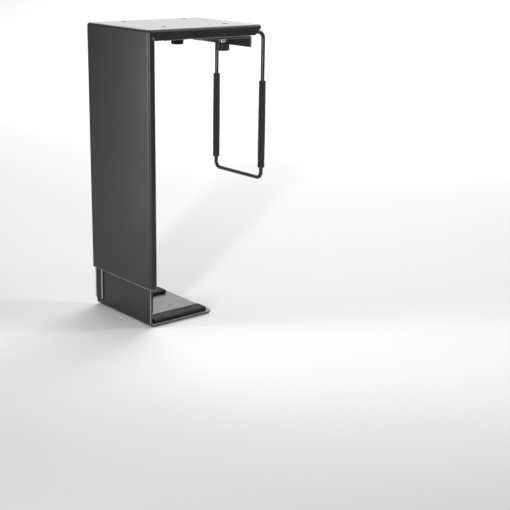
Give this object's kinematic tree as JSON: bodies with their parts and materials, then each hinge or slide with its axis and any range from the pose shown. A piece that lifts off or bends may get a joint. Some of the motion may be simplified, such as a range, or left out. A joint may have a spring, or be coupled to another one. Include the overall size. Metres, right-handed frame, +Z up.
{
  "type": "under-desk computer holder",
  "caption": "Folded steel under-desk holder for a computer tower, with a height-adjustable shelf inside its side cover and a sliding wire hoop.",
  "frame": {"origin": "centre of the top plate's upper face, which is screwed against the underside of a desk", "axes": "+X to the right across the width, away from the side cover; +Y to the back; +Z up"},
  "size_m": [0.1656, 0.114, 0.3095],
  "materials": {
    "charcoal_paint": "satin powder coat with a fine orange peel",
    "black_wire": "semi-gloss black paint on round rod",
    "zinc_steel": "bright zinc plate",
    "black_nylon": "moulded nylon with a faint grain",
    "black_foam": "closed-cell foam, matt",
    "black_rubber": "matt rubber"
  },
  "bodies": {
    "hanger": {"hanger_shell": "charcoal_paint", "guide_tray": "charcoal_paint", "rod_guide_front_inner": "black_nylon", "rod_guide_front_outer": "black_nylon", "rod_guide_rear_inner": "black_nylon", "rod_guide_rear_outer": "black_nylon", "guide_screw_front_inner": "zinc_steel", "guide_screw_front_outer": "zinc_steel", "guide_screw_rear_inner": "zinc_steel", "guide_screw_rear_outer": "zinc_steel", "hoop_lock_nut_front": "zinc_steel", "hoop_lock_nut_rear": "zinc_steel", "front_glide_strip": "black_nylon", "height_lock_nut_front": "zinc_steel", "height_lock_nut_rear": "zinc_steel", "height_lock_washer_front": "zinc_steel", "height_lock_washer_rear": "zinc_steel", "height_lock_screw_front": "zinc_steel", "height_lock_screw_rear": "zinc_steel"},
    "carriage": {"carriage_panel": "charcoal_paint", "rear_glide_strip": "black_nylon", "side_pad_front": "black_foam", "side_pad_middle": "black_foam", "side_pad_rear": "black_foam", "shelf_pad_front": "black_rubber", "shelf_pad_rear": "black_rubber"},
    "hoop": {"retaining_hoop": "black_wire", "hoop_sleeve_front": "black_foam", "hoop_sleeve_rear": "black_foam", "hoop_stop_front": "black_rubber", "hoop_stop_rear": "black_rubber"},
    "hoop_lock_front": {"hoop_lock_screw_front": "black_nylon"},
    "hoop_lock_rear": {"hoop_lock_screw_rear": "black_nylon"}
  },
  "joints": [
    {"name": "height_slide", "type": "slide", "parent": "hanger", "child": "carriage", "axis": [0, 0, 1], "range_m": [-0.15, 0.038]},
    {"name": "width_slide", "type": "slide", "parent": "hanger", "child": "hoop", "axis": [1, 0, 0], "range_m": [-0.018, 0.038]},
    {"name": "front_lock_turn", "type": "hinge", "parent": "hanger", "child": "hoop_lock_front", "pos_m": [0.034, -0.04, -0.02], "axis": [0, 0, 1], "range_deg": [0, 360]},
    {"name": "rear_lock_turn", "type": "hinge", "parent": "hanger", "child": "hoop_lock_rear", "pos_m": [0.034, 0.04, -0.02], "axis": [0, 0, 1], "range_deg": [0, 360]}
  ]
}
